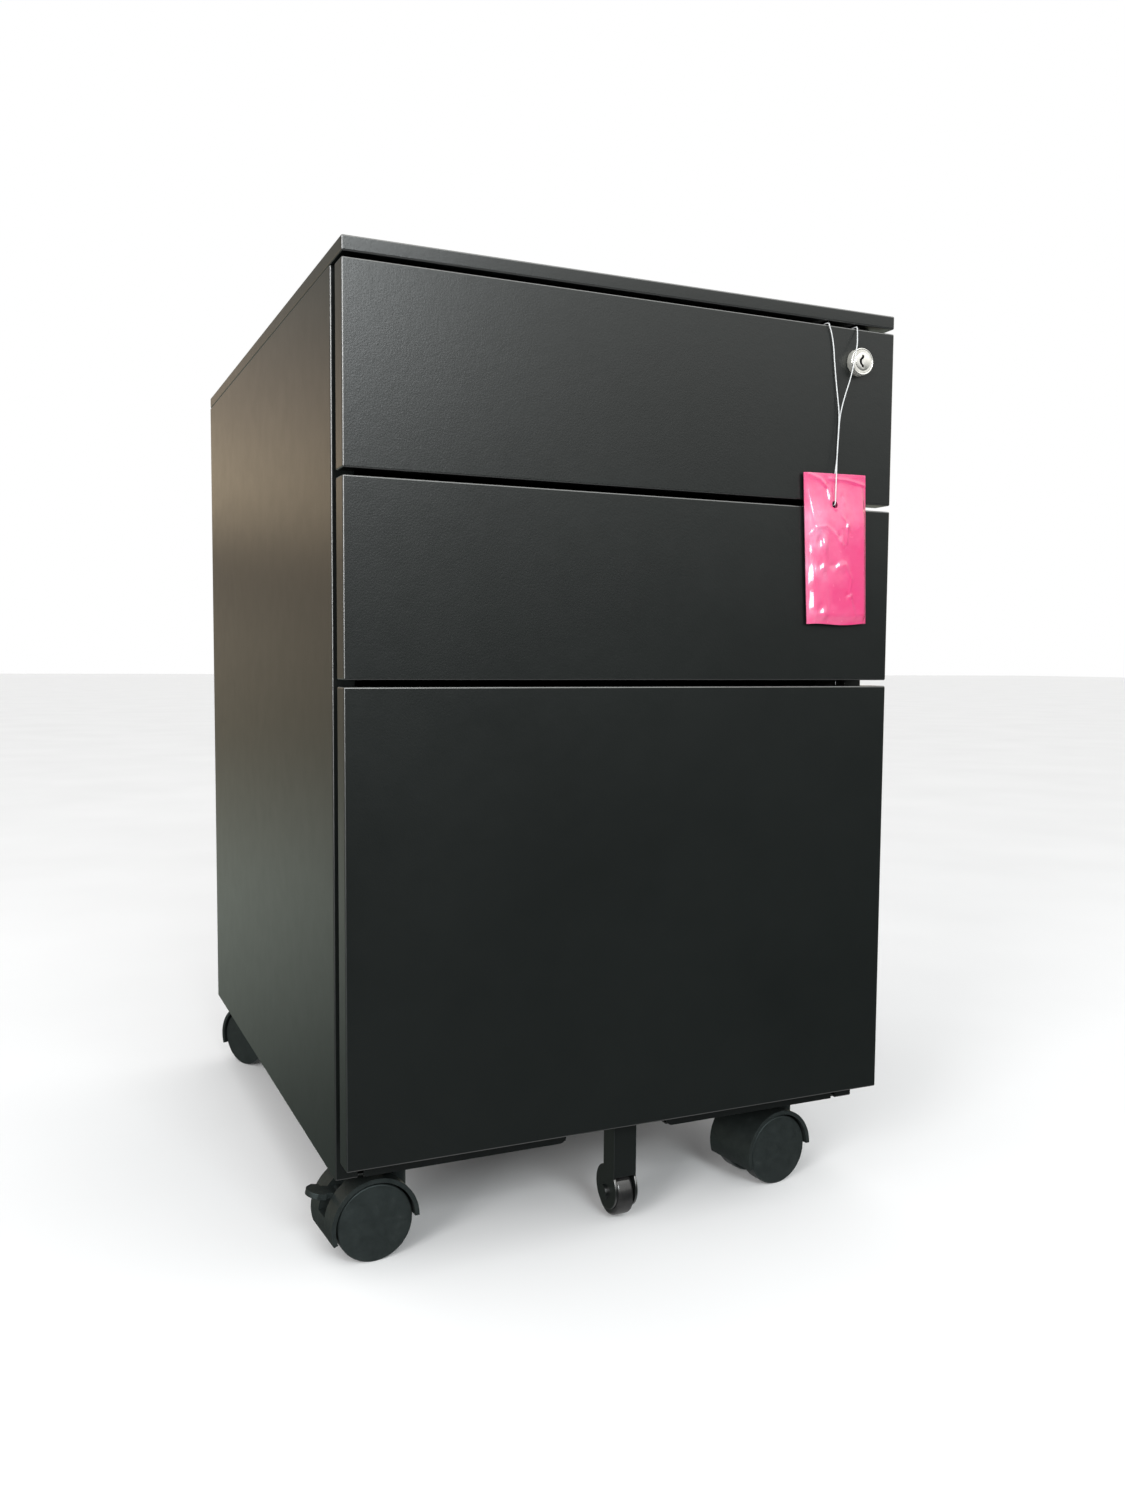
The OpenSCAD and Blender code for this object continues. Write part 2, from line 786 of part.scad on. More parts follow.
castor_wheel(front_right, 1);  // front_right_castor_wheel_a
castor_wheel(front_right, -1);  // front_right_castor_wheel_b
castor_hood(rear_left, false);  // rear_left_castor_hood
castor_axle(rear_left);  // rear_left_castor_axle
castor_wheel(rear_left, 1);  // rear_left_castor_wheel_a
castor_wheel(rear_left, -1);  // rear_left_castor_wheel_b
castor_hood(rear_right, true);  // rear_right_castor_hood
castor_axle(rear_right);  // rear_right_castor_axle
castor_wheel(rear_right, 1);  // rear_right_castor_wheel_a
castor_wheel(rear_right, -1);  // rear_right_castor_wheel_b
brake_lever(front_left);  // front_left_brake_lever
brake_lever(rear_right);  // rear_right_brake_lever
key_pouch();
keys();
key_string();
string_knot();
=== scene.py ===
"""A rolling pedestal cabinet in black sheet steel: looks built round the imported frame."""

import json
import math

import bmesh
import bpy
from mathutils import Matrix, Vector, noise


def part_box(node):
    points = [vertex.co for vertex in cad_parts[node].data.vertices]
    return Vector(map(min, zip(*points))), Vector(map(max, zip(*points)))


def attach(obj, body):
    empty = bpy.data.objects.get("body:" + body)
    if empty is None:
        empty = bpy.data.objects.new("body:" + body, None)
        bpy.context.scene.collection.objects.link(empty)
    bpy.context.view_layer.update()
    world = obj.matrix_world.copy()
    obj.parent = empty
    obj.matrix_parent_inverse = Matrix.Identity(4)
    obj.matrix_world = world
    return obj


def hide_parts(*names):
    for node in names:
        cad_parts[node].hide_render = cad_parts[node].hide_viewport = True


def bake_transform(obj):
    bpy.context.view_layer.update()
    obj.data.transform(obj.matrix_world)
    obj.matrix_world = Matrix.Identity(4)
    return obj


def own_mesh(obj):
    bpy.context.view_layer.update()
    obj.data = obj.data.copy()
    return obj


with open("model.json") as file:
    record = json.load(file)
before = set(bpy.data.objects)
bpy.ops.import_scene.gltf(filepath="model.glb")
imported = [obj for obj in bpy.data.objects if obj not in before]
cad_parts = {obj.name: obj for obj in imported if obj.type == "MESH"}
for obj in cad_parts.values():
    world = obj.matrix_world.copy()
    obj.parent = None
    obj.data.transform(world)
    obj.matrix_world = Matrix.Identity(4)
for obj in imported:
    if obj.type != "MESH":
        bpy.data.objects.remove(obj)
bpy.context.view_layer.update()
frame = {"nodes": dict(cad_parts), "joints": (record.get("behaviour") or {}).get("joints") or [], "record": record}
MM = 0.001
CASTORS = ("front_left", "front_right", "rear_left", "rear_right")

# ---- Places taken from the frame ----

FACE_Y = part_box("drawer_1_front")[0].y
JOINTS = {j["name"]: j for j in frame["joints"]}


def castor_place(name):
    """The matrix from a castor's own frame (stem on Z, wheels trailing along +X) to the row frame."""
    stem = JOINTS[f"{name}_castor_swivel"]["pos_m"]
    across = JOINTS[f"{name}_castor_wheel_a_spin"]["axis"]
    turn = math.atan2(-across[0], across[1])
    return Matrix.Translation((stem[0], stem[1], 0)) @ Matrix.Rotation(turn, 4, "Z")


# ---- Camera ----

def make_camera():
    """A camera at the photograph's viewing angle: low, close, and to the left of the drawers."""
    yaw, pitch, roll = math.radians(-24.23), math.radians(-4.13), math.radians(-0.40)
    turn = Matrix.Rotation(yaw, 3, "Z") @ Matrix.Rotation(pitch, 3, "X") @ Matrix.Rotation(roll, 3, "Y")
    right, forward, up = turn.col
    data = bpy.data.cameras.new("camera")
    data.lens = 29.64
    data.sensor_width = 36
    data.clip_start = 0.01
    camera = bpy.data.objects.new("camera", data)
    rotation = Matrix((right, up, -forward)).transposed()
    camera.matrix_world = Matrix.Translation((-0.37318, -0.9506, 0.38009)) @ rotation.to_4x4()
    bpy.context.scene.collection.objects.link(camera)
    bpy.context.scene.camera = camera


make_camera()

# ---- Materials ----

class Shader:
    """A material's node tree, with short calls for the nodes that the materials share."""

    def __init__(self, name, **settings):
        self.material = bpy.data.materials.new(name)
        self.material.use_nodes = True
        self.nodes = self.material.node_tree.nodes
        self.links = self.material.node_tree.links
        self.surface = self.nodes["Principled BSDF"]
        for key, value in settings.items():
            self.surface.inputs[key.replace("_", " ")].default_value = value
        self.where = self.nodes.new("ShaderNodeTexCoord").outputs["Object"]

    def noise(self, scale, detail=2.0, roughness=0.5, where=None):
        node = self.nodes.new("ShaderNodeTexNoise")
        node.inputs["Scale"].default_value = scale
        node.inputs["Detail"].default_value = detail
        node.inputs["Roughness"].default_value = roughness
        self.links.new(where or self.where, node.inputs["Vector"])
        return node.outputs["Fac"]

    def stretched(self, scale):
        """Object coordinates scaled by three factors, for a grain with a direction."""
        node = self.nodes.new("ShaderNodeMapping")
        node.inputs["Scale"].default_value = scale
        self.links.new(self.where, node.inputs["Vector"])
        return node.outputs["Vector"]

    def ramp(self, value, stops):
        """A colour ramp over value; stops are (position, colour)."""
        node = self.nodes.new("ShaderNodeValToRGB")
        elements = node.color_ramp.elements
        while len(elements) < len(stops):
            elements.new(0.5)
        for element, (position, colour) in zip(elements, stops):
            element.position = position
            element.color = colour
        self.links.new(value, node.inputs["Fac"])
        return node.outputs["Color"]

    def range(self, value, low, high, to_low, to_high):
        node = self.nodes.new("ShaderNodeMapRange")
        for key, number in (("From Min", low), ("From Max", high), ("To Min", to_low), ("To Max", to_high)):
            node.inputs[key].default_value = number
        self.links.new(value, node.inputs["Value"])
        return node.outputs["Result"]

    def part(self, axis):
        """One of the object coordinates, in metres."""
        node = self.nodes.new("ShaderNodeSeparateXYZ")
        self.links.new(self.where, node.inputs["Vector"])
        return node.outputs[axis]

    def maths(self, operation, first, second):
        node = self.nodes.new("ShaderNodeMath")
        node.operation = operation
        self.links.new(first, node.inputs[0])
        self.links.new(second, node.inputs[1])
        return node.outputs["Value"]

    def on_edges(self):
        """1 on rounded edges and 0 on flat faces, for a piece whose faces are square to the axes."""
        split = self.nodes.new("ShaderNodeSeparateXYZ")
        self.links.new(self.nodes.new("ShaderNodeNewGeometry").outputs["Normal"], split.inputs["Vector"])
        squares = [self.maths("MULTIPLY", part, part) for part in split.outputs]
        largest = self.maths("MAXIMUM", self.maths("MAXIMUM", squares[0], squares[1]), squares[2])
        return self.range(largest, 0.995, 0.93, 0.0, 1.0)

    def colour(self, value):
        self.links.new(value, self.surface.inputs["Base Color"])

    def roughness(self, value):
        self.links.new(value, self.surface.inputs["Roughness"])

    def bump(self, *layers):
        """Bumps on top of each other; a layer is (height, strength, distance in metres)."""
        normal = None
        for height, strength, distance in layers:
            node = self.nodes.new("ShaderNodeBump")
            node.inputs["Strength"].default_value = strength
            node.inputs["Distance"].default_value = distance
            self.links.new(height, node.inputs["Height"])
            if normal:
                self.links.new(normal, node.inputs["Normal"])
            normal = node.outputs["Normal"]
        self.links.new(normal, self.surface.inputs["Normal"])


def grey(value, green=1.0, blue=1.0):
    return (value, value * green, value * blue, 1)


def powder_coat():
    """Satin black powder coat: fine orange peel, a faint mottle, and a brighter line on folded edges."""
    s = Shader("powder_coat")
    mottle = s.noise(9, 3)
    s.colour(s.ramp(mottle, [(0.3, grey(0.0042, 1.3, 1.22)), (0.7, grey(0.0055, 1.26, 1.18))]))
    s.roughness(s.range(s.noise(60, 4), 0.3, 0.7, 0.305, 0.325))
    s.bump((s.noise(950, 2), 0.12, 0.0004), (s.noise(160, 2), 0.04, 0.001))
    s.links.new(s.range(s.on_edges(), 0, 1, 1.5, 2.1), s.surface.inputs["IOR"])
    return s.material


def moulded_plastic():
    """Matt black nylon with a spark-eroded grain and paler scuffs."""
    s = Shader("castor_nylon", Specular_IOR_Level=0.42, Specular_Tint=(0.78, 0.98, 1.0, 1))
    s.colour(s.ramp(s.noise(120, 5, 0.65), [(0.35, grey(0.0085, 1.2, 1.14)), (0.62, grey(0.0125, 1.2, 1.14)),
                                            (0.8, grey(0.024, 1.1, 1.06))]))
    s.roughness(s.range(s.noise(300, 3), 0.3, 0.7, 0.42, 0.54))
    s.bump((s.noise(2200, 2), 0.25, 0.0003))
    return s.material


def roller_plastic():
    """The glossier small roller, with fine turning marks round it."""
    s = Shader("roller_plastic", Specular_IOR_Level=0.55)
    s.colour(s.ramp(s.noise(90, 4), [(0.3, grey(0.010)), (0.7, grey(0.018))]))
    s.roughness(s.range(s.noise(240, 3), 0.3, 0.7, 0.12, 0.24))
    s.bump((s.noise(1, 1, where=s.stretched((2600, 40, 40))), 0.15, 0.0002))
    return s.material


def tray_plastic():
    """Vacuum-formed tray: a leathery fine grain."""
    s = Shader("tray_plastic")
    s.colour(s.ramp(s.noise(40, 3), [(0.3, grey(0.02)), (0.7, grey(0.027))]))
    s.roughness(s.range(s.noise(500, 3), 0.3, 0.7, 0.45, 0.62))
    s.bump((s.noise(1300, 4, 0.6), 0.35, 0.0004))
    return s.material


def zinc_plate():
    """Bright zinc plate on rolled steel: long drawing lines and a slight cloudiness."""
    s = Shader("zinc_plate", Metallic=1.0)
    s.colour(s.ramp(s.noise(28, 4, 0.6), [(0.3, (0.50, 0.51, 0.53, 1)), (0.7, (0.66, 0.66, 0.67, 1))]))
    s.roughness(s.range(s.noise(70, 5), 0.3, 0.7, 0.24, 0.42))
    s.bump((s.noise(1, 3, where=s.stretched((900, 14, 900))), 0.18, 0.0003))
    return s.material


def nickel():
    """Polished nickel plate of the lock, faintly warm, with hairline scratches."""
    s = Shader("nickel", Metallic=1.0)
    s.colour(s.ramp(s.noise(160, 3), [(0.3, (0.76, 0.75, 0.71, 1)), (0.7, (0.88, 0.875, 0.85, 1))]))
    s.roughness(s.range(s.noise(420, 5, 0.6), 0.3, 0.7, 0.12, 0.26))
    s.bump((s.noise(1, 3, where=s.stretched((6000, 300, 1200))), 0.12, 0.0001))
    return s.material


def satin_nickel():
    """The same plate left satin, as on the barrel's side, where it scatters the light."""
    s = Shader("satin_nickel", Metallic=0.75)
    s.colour(s.ramp(s.noise(130, 3), [(0.3, (0.66, 0.66, 0.60, 1)), (0.7, (0.80, 0.80, 0.74, 1))]))
    s.roughness(s.range(s.noise(380, 4), 0.3, 0.7, 0.48, 0.62))
    s.bump((s.noise(1, 3, where=s.stretched((900, 5000, 900))), 0.2, 0.0001))
    return s.material


def keyway_painted_shade():
    """Painted shade: a near-black material for the keyway's inside, standing in for the shade deep in the slot."""
    s = Shader("keyway_shadow", Specular_IOR_Level=0.2)
    s.colour(s.ramp(s.noise(900, 3), [(0.3, grey(0.003)), (0.7, grey(0.01))]))
    s.roughness(s.range(s.noise(500, 2), 0.3, 0.7, 0.6, 0.8))
    return s.material


def key_steel():
    s = Shader("key_steel", Metallic=1.0)
    s.colour(s.ramp(s.noise(90, 4), [(0.3, (0.52, 0.50, 0.46, 1)), (0.7, (0.66, 0.64, 0.60, 1))]))
    s.roughness(s.range(s.noise(300, 4), 0.3, 0.7, 0.25, 0.4))
    s.bump((s.noise(1, 3, where=s.stretched((3000, 3000, 200))), 0.2, 0.0002))
    return s.material


def pink_vinyl():
    """Hot pink soft film: glossy and finely creased, with a painted milky sheen, lighter pink in patches and
    towards the left.
    """
    s = Shader("pink_vinyl", Specular_IOR_Level=0.4, Coat_Weight=1.0, Coat_Roughness=0.05,
               Coat_IOR=1.6, Subsurface_Weight=0.2, Subsurface_Scale=0.002)
    s.surface.inputs["Subsurface Radius"].default_value = (1.0, 0.35, 0.4)
    # Painted sheen: the colour turns a lighter, milkier pink towards the left and in noise patches, standing in
    # for the soft reflection on the film.
    across = s.range(s.part("X"), 0.17, 0.12, 0.0, 0.5)
    painted_sheen = s.maths("ADD", s.range(s.noise(38, 3, 0.55), 0.3, 0.7, 0.0, 0.5), across)
    s.colour(s.ramp(painted_sheen, [(0.3, (0.57, 0.048, 0.155, 1)), (0.62, (0.61, 0.095, 0.205, 1)),
                            (0.95, (0.60, 0.21, 0.33, 1))]))
    s.roughness(s.range(s.noise(150, 3), 0.3, 0.7, 0.14, 0.28))
    s.bump((s.noise(420, 4, 0.6), 0.25, 0.0004), (s.noise(90, 3, 0.6), 0.35, 0.0012))
    return s.material


def white_string():
    s = Shader("white_string", Sheen_Weight=0.3)
    s.colour(s.ramp(s.noise(1500, 3), [(0.3, (0.42, 0.43, 0.43, 1)), (0.7, (0.62, 0.63, 0.63, 1))]))
    s.roughness(s.range(s.noise(900, 2), 0.3, 0.7, 0.45, 0.6))
    s.bump((s.noise(4000, 2), 0.4, 0.0002))
    return s.material


POWDER = powder_coat()
NYLON = moulded_plastic()
ROLLER = roller_plastic()
TRAY = tray_plastic()
ZINC = zinc_plate()
NICKEL = nickel()
SATIN = satin_nickel()
KEYWAY_PAINTED_SHADE = keyway_painted_shade()
KEY_STEEL = key_steel()
VINYL = pink_vinyl()
STRING = white_string()
MATERIAL_OF_SLOT = {
    "powder_black": POWDER, "castor_plastic": NYLON, "roller_plastic": ROLLER, "tray_plastic": TRAY,
    "zinc_steel": ZINC, "lock_nickel": NICKEL, "key_steel": KEY_STEEL, "pouch_vinyl": VINYL,
    "string": STRING,
}

# ---- Making pieces ----

def new_object(name, bm):
    """An object with this bmesh as its mesh."""
    mesh = bpy.data.meshes.new(name)
    bm.to_mesh(mesh)
    bm.free()
    piece = bpy.data.objects.new(name, mesh)
    bpy.context.scene.collection.objects.link(piece)
    return piece


def shade_smooth(piece, angle=35):
    """Smooth shading that stays crisp at corners, with flat faces kept flat."""
    piece.data.polygons.foreach_set("use_smooth", [True] * len(piece.data.polygons))
    piece.data.set_sharp_from_angle(angle=math.radians(angle))


def round_edges(piece, width, segments=3, angle=40, weld=True):
    """Welded seams and rounded edges, as modifiers, so that a CAD node's own mesh stays as it is."""
    if weld:
        piece.modifiers.new("weld", "WELD").merge_threshold = 0.00001
    bevel = piece.modifiers.new("bevel", "BEVEL")
    bevel.width = width
    bevel.segments = segments
    bevel.limit_method = "ANGLE"
    bevel.angle_limit = math.radians(angle)
    bevel.harden_normals = False
    bevel.miter_outer = "MITER_ARC"
    normals = piece.modifiers.new("normals", "WEIGHTED_NORMAL")
    normals.keep_sharp = True


def dress(piece, body, slot, *nodes):
    """Gives a new piece its material and its body, and hides the CAD nodes that it stands for."""
    piece.data.materials.append(MATERIAL_OF_SLOT[slot])
    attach(piece, body)
    if nodes:
        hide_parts(*nodes)
    return piece


def edge_width(name):
    """How far the edges of a CAD node that stays are rounded, by what it is made of."""
    if name.endswith("_hood"):
        return 0.7 * MM
    if name.endswith(("_lever", "_axle", "_stems")):
        return 0.5 * MM
    return 0.25 * MM


def dress_cad_nodes():
    """Every CAD node gets its slot's material and small rounded edges."""
    slots = {s["node"]: s["material_slot"] for s in frame["record"]["subparts"]}
    for name, node in frame["nodes"].items():
        node.data.materials.clear()
        node.data.materials.append(MATERIAL_OF_SLOT[slots[name]])
        round_edges(node, edge_width(name))


# ---- Shapes that several pieces share ----

def arc(centre, radius, start, end, steps=6):
    """Points along an arc, in degrees, as (radius from the axis, place along it)."""
    angles = [math.radians(start + (end - start) * i / steps) for i in range(steps + 1)]
    return [(centre[0] + radius * math.cos(a), centre[1] + radius * math.sin(a)) for a in angles]


def lathe(name, profile, segments=96):
    """A closed profile of (radius, place along +Y) in millimetres, turned about the Y axis."""
    bm = bmesh.new()
    rings = []
    for radius, along in profile:
        if radius < 1e-6:
            rings.append([bm.verts.new((0, along * MM, 0))])
            continue
        angles = [2 * math.pi * i / segments for i in range(segments)]
        rings.append([
            bm.verts.new((radius * MM * math.cos(a), along * MM, radius * MM * math.sin(a))) for a in angles
        ])
    for near, far in zip(rings, rings[1:] + rings[:1]):
        if len(near) == 1 and len(far) == 1:
            continue
        for i in range(segments):
            j = (i + 1) % segments
            corners = [near[i % len(near)], near[j % len(near)], far[j % len(far)], far[i % len(far)]]
            bm.faces.new(list(dict.fromkeys(corners)))
    bmesh.ops.recalc_face_normals(bm, faces=bm.faces)
    piece = new_object(name, bm)
    shade_smooth(piece)
    return piece


def plate(name, outline, low, high, holes=()):
    """A flat outline of (x, z) points in millimetres, extruded along Y; holes are (x, z, radius)."""
    bm = bmesh.new()
    front = [bm.verts.new((x * MM, low * MM, z * MM)) for x, z in outline]
    base = bm.faces.new(front)
    made = bmesh.ops.extrude_face_region(bm, geom=[base])["geom"]
    moved = [g for g in made if isinstance(g, bmesh.types.BMVert)]
    bmesh.ops.translate(bm, verts=moved, vec=(0, (high - low) * MM, 0))
    bmesh.ops.recalc_face_normals(bm, faces=bm.faces)
    piece = new_object(name, bm)
    for x, z, radius in holes:
        reach = high - low + 4
        cutter = lathe("cutter", [(0, -reach), (radius, -reach), (radius, reach), (0, reach)], 32)
        cutter.location = (x * MM, low * MM, z * MM)
        cut(piece, cutter)
    return piece


def bake(piece):
    """Applies a piece's modifiers, so that what they make is its mesh."""
    bpy.context.view_layer.update()
    evaluated = piece.evaluated_get(bpy.context.evaluated_depsgraph_get())
    mesh = bpy.data.meshes.new_from_object(evaluated)
    piece.modifiers.clear()
    piece.data = mesh


def cut(piece, cutter, operation="DIFFERENCE"):
    """Cuts one closed piece with another, or joins them, and removes the cutter."""
    boolean = piece.modifiers.new("cut", "BOOLEAN")
    boolean.operation = operation
    boolean.solver = "EXACT"
    boolean.object = cutter
    bake(piece)
    bpy.data.objects.remove(cutter)


def smooth_line(points, spacing=0.35 * MM):
    """A line through a run of points with its corners cut three times over, then evenly spaced."""
    line = points
    for _ in range(3):
        cuts = [a.lerp(b, share) for a, b in zip(line, line[1:]) for share in (0.25, 0.75)]
        line = [line[0], *cuts, line[-1]]
    walked = [0.0]
    for a, b in zip(line, line[1:]):
        walked.append(walked[-1] + (b - a).length)
    count = round(walked[-1] / spacing)
    even, i = [], 0
    for k in range(count + 1):
        place = walked[-1] * k / count
        while i < len(line) - 2 and walked[i + 1] < place:
            i += 1
        even.append(line[i].lerp(line[i + 1], (place - walked[i]) / (walked[i + 1] - walked[i])))
    return even


def rope_tube(name, line, diameter, strands=3, lay_length=0.004, sides=12):
    """A tube along a line whose section is a few strands twisted together."""
    bm = bmesh.new()
    rings = []
    side = (line[1] - line[0]).cross(Vector((0, 0, 1))).normalized()
    walked = 0.0
    for i, point in enumerate(line):
        ahead = line[min(i + 1, len(line) - 1)] - line[max(i - 1, 0)]
        forward = ahead.normalized()
        side = (side - side.dot(forward) * forward).normalized()
        up = forward.cross(side)
        walked += (point - line[max(i - 1, 0)]).length
        twist = 2 * math.pi * walked / lay_length
        ring = []
        for k in range(sides):
            a = 2 * math.pi * k / sides
            radius = diameter / 2 * (0.86 + 0.14 * abs(math.cos(strands / 2 * (a - twist))))
            ring.append(bm.verts.new(point + radius * (math.cos(a) * side + math.sin(a) * up)))
        rings.append(ring)
    for near, far in zip(rings, rings[1:]):
        for k in range(sides):
            n = (k + 1) % sides
            bm.faces.new([near[k], near[n], far[n], far[k]])
    bm.faces.new(rings[0][::-1])
    bm.faces.new(rings[-1])
    bmesh.ops.recalc_face_normals(bm, faces=bm.faces)
    piece = new_object(name, bm)
    shade_smooth(piece, 60)
    return piece


# ---- Folded sheet steel ----

SHEET = 1.0 * MM


def folded_tray(name, low, high, face, walls, lip=0.0, bend=1.1 * MM):
    """One sheet folded into a shallow tray. face says which side is the plain one, such as "-y";
    walls names the sides that have a wall, and lip is the width of the hem turned in on each."""
    axis = "xyz".index(face[1])
    u, v = [i for i in range(3) if i != axis]
    outward = -1 if face[0] == "-" else 1
    plane = low[axis] if outward < 0 else high[axis]
    depth = high[axis] - low[axis]

    def point(a, b, d):
        p = [0, 0, 0]
        p[u], p[v], p[axis] = a, b, plane - outward * d
        return Vector(p)

    bm = bmesh.new()
    corners = [(low[u], low[v]), (high[u], low[v]), (high[u], high[v]), (low[u], high[v])]
    inner = [
        (low[u] + lip, low[v] + lip), (high[u] - lip, low[v] + lip),
        (high[u] - lip, high[v] - lip), (low[u] + lip, high[v] - lip),
    ]
    face_ring = [bm.verts.new(point(a, b, 0)) for a, b in corners]
    back_ring = [bm.verts.new(point(a, b, depth)) for a, b in corners]
    lip_ring = [bm.verts.new(point(a, b, depth)) for a, b in inner] if lip else []
    plain = bm.faces.new(face_ring)
    sides = [f"-{'xyz'[v]}", f"+{'xyz'[u]}", f"+{'xyz'[v]}", f"-{'xyz'[u]}"]
    for i, side in enumerate(sides):
        j = (i + 1) % 4
        if side in walls:
            bm.faces.new([face_ring[i], back_ring[i], back_ring[j], face_ring[j]])
            if lip:
                bm.faces.new([back_ring[i], lip_ring[i], lip_ring[j], back_ring[j]])
    for vertex in [v for v in bm.verts if not v.link_faces]:
        bm.verts.remove(vertex)
    bmesh.ops.recalc_face_normals(bm, faces=bm.faces)
    if plain.normal[axis] * outward < 0:
        bmesh.ops.reverse_faces(bm, faces=bm.faces)
    folds = [e for e in bm.edges if len(e.link_faces) == 2 and e.calc_face_angle() > 1]
    bmesh.ops.bevel(bm, geom=folds, offset=bend, segments=5, profile=0.5, affect="EDGES")
    piece = new_object(name, bm)
    shade_smooth(piece)
    thick = piece.modifiers.new("sheet", "SOLIDIFY")
    thick.thickness = SHEET
    thick.offset = -1
    thick.use_even_offset = True
    normals = piece.modifiers.new("normals", "WEIGHTED_NORMAL")
    normals.keep_sharp = True
    return piece


def make_panels():
    """The folded panels that show: the three drawer fronts, the top and the two sides."""
    around_face = ("-x", "+x", "-z", "+z")
    for drawer in (1, 2, 3):
        node = f"drawer_{drawer}_front"
        low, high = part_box(node)
        front = folded_tray(f"{node}_shell", low, high, "-y", around_face, lip=8 * MM)
        dress(front, f"drawer_{drawer}", "powder_black", node)
    low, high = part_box("top_panel")
    top = folded_tray("top_shell", low, high, "+z", ("-x", "+x", "-y", "+y"), lip=12 * MM)
    dress(top, "cabinet", "powder_black", "top_panel")
    for node, face in (("left_side_panel", "-x"), ("right_side_panel", "+x")):
        low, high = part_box(node)
        side = folded_tray(f"{node}_shell", low, high, face, ("-y", "-z", "+z"))
        dress(side, "cabinet", "powder_black", node)


# ---- Key pouch, keys and string ----

# The string's route, [x, y behind the drawer face, z] in millimetres, as in the CAD part
STRING_ROUTE = [
    [149, 17.7, 602], [145, 17.6, 602], [141.8, 17.5, 602.7], [139.7, 17.3, 605],
    [139.3, 17.2, 607.3], [139.3, 16.8, 608.4], [139.3, 16, 609.1], [139.3, 15, 609.3],
    [139.3, 8, 609.4], [139.3, 1, 609.3], [139.3, -0.2, 609], [139.3, -1, 608.2],
    [139.4, -1.3, 607], [141.2, -1.2, 603], [143.1, -1.2, 595], [144.2, -1.2, 584],
    [145.6, -1.3, 572], [147.2, -1.6, 560], [148.2, -2.4, 549], [147.5, -3, 538],
    [146.3, -3.8, 527], [145.3, -4.8, 517], [144.8, -5.3, 507], [144.5, -5.5, 497],
    [144.4, -5.5, 488.5], [144.3, -4.2, 487.1], [144.2, -2.3, 487.1], [144.3, -0.9, 488.5],
    [145.1, -0.9, 497], [146.6, -0.9, 507], [147.9, -0.9, 517], [148.6, -1, 527],
    [149, -1.1, 538], [149.7, -1.4, 549], [150.9, -4, 560], [153.5, -6.2, 571],
    [155.2, -7.4, 580], [156.8, -7.4, 588], [158.9, -6.4, 596], [161.5, -2.8, 603.5],
    [162.4, -1.3, 606.8], [162.6, -1, 608.2], [162.7, -0.2, 609], [162.8, 1, 609.3],
    [163, 8, 609.4], [163, 15, 609.3], [163, 16, 609.1], [163, 16.8, 608.4],
    [163, 17.2, 607.3], [162.6, 17.3, 605], [160.5, 17.5, 602.7], [156.5, 17.6, 602],
    [151.2, 17.7, 602],
]
STRING_DIAMETER = 0.8 * MM


def make_string():
    """The string's loop and the small knot that closes it behind the drawer front."""
    points = [Vector((x * MM, FACE_Y + y * MM, z * MM)) for x, y, z in STRING_ROUTE]
    line = smooth_line(points)
    string = rope_tube("pouch_string", line, STRING_DIAMETER)
    string.data.materials.append(STRING)
    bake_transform(string)
    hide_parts("key_string")
    low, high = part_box("string_knot")
    middle = (low + high) / 2
    coil = []
    for i in range(97):
        a = 2 * math.pi * 3 * i / 96
        across = (i / 96 - 0.5) * 1.9 * MM
        coil.append(middle + Vector((across, 0.85 * MM * math.cos(a), 0.85 * MM * math.sin(a))))
    knot = rope_tube("pouch_string_knot", coil, STRING_DIAMETER, sides=8)
    dress(knot, "drawer_1", "string", "string_knot")


# The pouch's corners as (x, z), clockwise from the top left, in millimetres
POUCH_CORNERS = [Vector(c) for c in ((120, 508), (171, 509), (174, 407), (125, 406))]
POUCH_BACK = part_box("key_pouch")[1].y / MM
POUCH_HOLE = (144.2, 487.5)
POUCH_HOLE_R = 2.5
# The film's thickness, in millimetres. The pouch and keys keep their width as the middle drawer opens: at its full
# travel the pouch cuts the drawer's side wall, and on its way the drawer's front passes through both. A real pouch
# is pushed aside
FILM = 0.3
# Creases in the film: (height, half width, points as shares across and down the pouch)
CREASES = [
    (0.6, 1.0, [(0.02, 0.0), (0.25, 0.04), (0.36, 0.09), (0.39, 0.15), (0.41, 0.2), (0.47, 0.236)]),
    (0.5, 0.7, [(0.4, 0.035), (0.67, 0.038), (1.0, 0.07)]),
    (0.45, 0.7, [(0.55, 0.25), (0.57, 0.29), (0.65, 0.33), (0.63, 0.39), (0.62, 0.46)]),
    (0.4, 1.1, [(0.06, 0.41), (0.15, 0.36), (0.3, 0.35), (0.43, 0.4), (0.56, 0.48)]),
    (0.4, 0.9, [(0.6, 0.6), (0.7, 0.7), (0.66, 0.8), (0.77, 0.97)]),
    (0.3, 1.3, [(0.24, 0.42), (0.28, 0.55), (0.22, 0.64)]),
    (-0.25, 2.2, [(0.3, 0.66), (0.34, 0.8), (0.33, 0.96)]),
]
# Small flats in the film, tilted up and to the left: (share across, share down, half width, half height)
FLATS = [
    (0.37, 0.13, 1.8, 5.0), (0.6, 0.17, 1.5, 3.0), (0.64, 0.33, 1.2, 3.6), (0.22, 0.46, 3.2, 5.0),
    (0.2, 0.62, 2.6, 2.6), (0.47, 0.61, 4.2, 2.8), (0.2, 0.92, 3.0, 4.6), (0.66, 0.81, 1.8, 1.8),
    (0.52, 0.43, 1.4, 3.0),
]
FLAT_TILT = (0.5, 0.22)


def smoothstep(t):
    t = max(0.0, min(1.0, t))
    return t * t * (3 - 2 * t)


